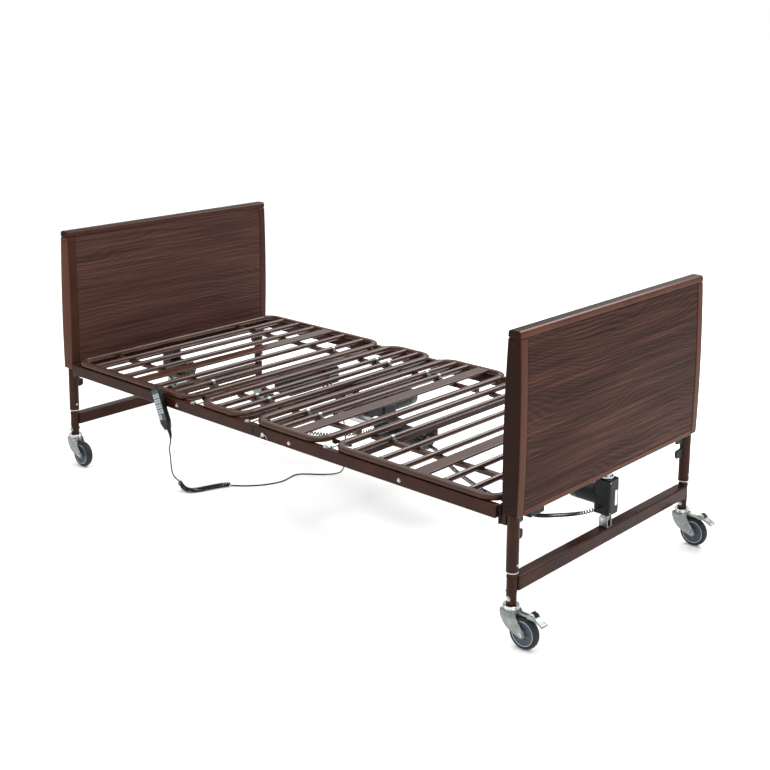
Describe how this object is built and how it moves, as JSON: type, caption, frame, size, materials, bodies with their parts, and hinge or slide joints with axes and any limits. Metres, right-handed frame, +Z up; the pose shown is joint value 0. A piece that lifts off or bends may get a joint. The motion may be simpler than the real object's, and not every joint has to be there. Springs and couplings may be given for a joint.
{
  "type": "adjustable hospital bed",
  "caption": "Home-care bed with wooden ends on telescopic legs, a hinged slatted steel deck moved by motors, casters with brakes and a hanging handset.",
  "frame": {"origin": "middle of the bed's footprint on the floor, loose cords not counted", "axes": "+X from the head end to the foot end, +Y to the patient's left lying face up, +Z up"},
  "size_m": [2.3387, 1.1086, 0.958],
  "materials": {
    "brown_steel": "satin powder coat",
    "laminate": "walnut laminate with a horizontal grain, satin",
    "edge_trim": "brown moulded edge, satin",
    "zinc": "bright zinc plate",
    "chrome": "polished",
    "tyre": "dark grey tread on a grey wheel",
    "black_plastic": "fine grained",
    "grey_key": "silver grey membrane",
    "aluminium": "satin",
    "cord_jacket": "smooth matte jacket"
  },
  "bodies": {
    "head_legs": {"head_leg_frame": "brown_steel", "head_lift_housing": "black_plastic", "caster_stem_head_right": "chrome", "caster_stem_head_left": "chrome", "handset_cord_lead": "cord_jacket", "handset_cord_coil": "cord_jacket", "handset_cord_tail": "cord_jacket"},
    "bed_frame": {"head_lift_rod": "aluminium", "foot_lift_rod": "aluminium", "head_board_surround": "edge_trim", "foot_board_surround": "edge_trim", "head_board_inner_panel": "laminate", "head_board_outer_panel": "laminate", "foot_board_inner_panel": "laminate", "foot_board_outer_panel": "laminate", "head_board_frame": "brown_steel", "foot_board_frame": "brown_steel", "head_deck_frame": "brown_steel", "foot_deck_frame": "brown_steel", "seat_section": "brown_steel", "back_actuator_housing": "black_plastic", "thigh_actuator_housing": "black_plastic", "control_box": "black_plastic", "handset_shell": "black_plastic", "deck_link_cord": "cord_jacket", "foot_harness_cord": "cord_jacket"},
    "foot_legs": {"foot_leg_frame": "brown_steel", "foot_lift_housing": "black_plastic", "caster_stem_foot_right": "chrome", "caster_stem_foot_left": "chrome", "foot_lift_cord": "cord_jacket"},
    "back": {"back_section": "brown_steel", "back_hinge_rod": "zinc"},
    "thigh": {"thigh_section": "brown_steel", "thigh_hinge_rod": "zinc", "knee_hinge_rod": "zinc"},
    "calf": {"calf_section": "brown_steel"},
    "back_thrust": {"back_thrust_rod": "aluminium"},
    "thigh_thrust": {"thigh_thrust_rod": "aluminium"},
    "fork_head_right": {"caster_fork_head_right": "zinc"},
    "fork_head_left": {"caster_fork_head_left": "zinc"},
    "fork_foot_right": {"caster_fork_foot_right": "zinc"},
    "fork_foot_left": {"caster_fork_foot_left": "zinc"},
    "wheel_head_right": {"caster_wheel_head_right": "tyre"},
    "wheel_head_left": {"caster_wheel_head_left": "tyre"},
    "wheel_foot_right": {"caster_wheel_foot_right": "tyre"},
    "wheel_foot_left": {"caster_wheel_foot_left": "tyre"},
    "pedal_right": {"brake_pedal_foot_right": "zinc"},
    "pedal_left": {"brake_pedal_foot_left": "zinc"},
    "pin_right": {"lock_pin_right": "zinc"},
    "pin_left": {"lock_pin_left": "zinc"},
    "back_up_key": {"key_back_up": "grey_key"},
    "knee_up_key": {"key_knee_up": "grey_key"},
    "height_up_key": {"key_height_up": "grey_key"},
    "contour_up_key": {"key_contour_up": "grey_key"},
    "lock_key": {"key_lock": "grey_key"},
    "back_down_key": {"key_back_down": "grey_key"},
    "knee_down_key": {"key_knee_down": "grey_key"},
    "height_down_key": {"key_height_down": "grey_key"},
    "contour_down_key": {"key_contour_down": "grey_key"}
  },
  "joints": [
    {"name": "bed_lift", "type": "slide", "parent": "head_legs", "child": "bed_frame", "axis": [0, 0, 1], "range_m": [0, 0.2], "deforming": ["handset_cord_lead", "handset_cord_tail"]},
    {"name": "foot_leg_slide", "type": "slide", "parent": "bed_frame", "child": "foot_legs", "axis": [0, 0, -1], "range_m": [0, 0.2001], "deforming": ["foot_lift_cord"]},
    {"name": "back_hinge", "type": "hinge", "parent": "bed_frame", "child": "back", "pos_m": [-0.3716, 0.013, 0.42], "axis": [0, 1, 0], "range_deg": [0, 65]},
    {"name": "back_thrust_slide", "type": "slide", "parent": "bed_frame", "child": "back_thrust", "axis": [-1, 0, 0], "range_m": [0, 0.0969]},
    {"name": "thigh_hinge", "type": "hinge", "parent": "bed_frame", "child": "thigh", "pos_m": [-0.0806, 0.013, 0.42], "axis": [0, -1, 0], "range_deg": [0, 35]},
    {"name": "thigh_thrust_slide", "type": "slide", "parent": "bed_frame", "child": "thigh_thrust", "axis": [1, 0, 0], "range_m": [0, 0.048]},
    {"name": "calf_hinge", "type": "hinge", "parent": "thigh", "child": "calf", "pos_m": [0.2994, 0.013, 0.42], "axis": [0, 1, 0], "range_deg": [0, 52.6]},
    {"name": "swivel_head_right", "type": "hinge", "parent": "head_legs", "child": "fork_head_right", "pos_m": [-1.1381, -0.489, 0.11], "axis": [0, 0, 1], "continuous": true},
    {"name": "swivel_head_left", "type": "hinge", "parent": "head_legs", "child": "fork_head_left", "pos_m": [-1.1381, 0.515, 0.11], "axis": [0, 0, 1], "continuous": true},
    {"name": "swivel_foot_right", "type": "hinge", "parent": "foot_legs", "child": "fork_foot_right", "pos_m": [1.0469, -0.489, 0.11], "axis": [0, 0, 1], "continuous": true},
    {"name": "swivel_foot_left", "type": "hinge", "parent": "foot_legs", "child": "fork_foot_left", "pos_m": [1.0469, 0.515, 0.11], "axis": [0, 0, 1], "continuous": true},
    {"name": "spin_head_right", "type": "hinge", "parent": "fork_head_right", "child": "wheel_head_right", "pos_m": [-1.0876, -0.489, 0.05], "axis": [0, 1, 0], "continuous": true},
    {"name": "spin_head_left", "type": "hinge", "parent": "fork_head_left", "child": "wheel_head_left", "pos_m": [-1.0876, 0.515, 0.05], "axis": [0, 1, 0], "continuous": true},
    {"name": "spin_foot_right", "type": "hinge", "parent": "fork_foot_right", "child": "wheel_foot_right", "pos_m": [1.0974, -0.489, 0.05], "axis": [0, 1, 0], "continuous": true},
    {"name": "spin_foot_left", "type": "hinge", "parent": "fork_foot_left", "child": "wheel_foot_left", "pos_m": [1.0974, 0.515, 0.05], "axis": [0, 1, 0], "continuous": true},
    {"name": "brake_pedal_right", "type": "hinge", "parent": "fork_foot_right", "child": "pedal_right", "pos_m": [1.1139, -0.489, 0.108], "axis": [0, -1, 0], "range_deg": [0, 14]},
    {"name": "brake_pedal_left", "type": "hinge", "parent": "fork_foot_left", "child": "pedal_left", "pos_m": [1.1139, 0.515, 0.108], "axis": [0, -1, 0], "range_deg": [0, 14]},
    {"name": "lock_pin_right_pull", "type": "slide", "parent": "bed_frame", "child": "pin_right", "axis": [0, -1, 0], "range_m": [0, 0.04]},
    {"name": "lock_pin_left_pull", "type": "slide", "parent": "bed_frame", "child": "pin_left", "axis": [0, 1, 0], "range_m": [0, 0.04]},
    {"name": "press_back_up", "type": "slide", "parent": "bed_frame", "child": "back_up_key", "axis": [0, 1, 0], "range_m": [0, 0.001], "stiffness_N_per_m": 400},
    {"name": "press_knee_up", "type": "slide", "parent": "bed_frame", "child": "knee_up_key", "axis": [0, 1, 0], "range_m": [0, 0.001], "stiffness_N_per_m": 400},
    {"name": "press_height_up", "type": "slide", "parent": "bed_frame", "child": "height_up_key", "axis": [0, 1, 0], "range_m": [0, 0.001], "stiffness_N_per_m": 400},
    {"name": "press_contour_up", "type": "slide", "parent": "bed_frame", "child": "contour_up_key", "axis": [0, 1, 0], "range_m": [0, 0.001], "stiffness_N_per_m": 400},
    {"name": "press_lock", "type": "slide", "parent": "bed_frame", "child": "lock_key", "axis": [0, 1, 0], "range_m": [0, 0.001], "stiffness_N_per_m": 400},
    {"name": "press_back_down", "type": "slide", "parent": "bed_frame", "child": "back_down_key", "axis": [0, 1, 0], "range_m": [0, 0.001], "stiffness_N_per_m": 400},
    {"name": "press_knee_down", "type": "slide", "parent": "bed_frame", "child": "knee_down_key", "axis": [0, 1, 0], "range_m": [0, 0.001], "stiffness_N_per_m": 400},
    {"name": "press_height_down", "type": "slide", "parent": "bed_frame", "child": "height_down_key", "axis": [0, 1, 0], "range_m": [0, 0.001], "stiffness_N_per_m": 400},
    {"name": "press_contour_down", "type": "slide", "parent": "bed_frame", "child": "contour_down_key", "axis": [0, 1, 0], "range_m": [0, 0.001], "stiffness_N_per_m": 400}
  ],
  "couplings": [
    {"joint": "foot_leg_slide", "follows": "bed_lift", "ratio": 1},
    {"joint": "back_thrust_slide", "follows": "back_hinge", "m_per_rad": 0.085357},
    {"joint": "thigh_thrust_slide", "follows": "thigh_hinge", "m_per_rad": 0.078455},
    {"joint": "calf_hinge", "follows": "thigh_hinge", "ratio": 1.5}
  ]
}
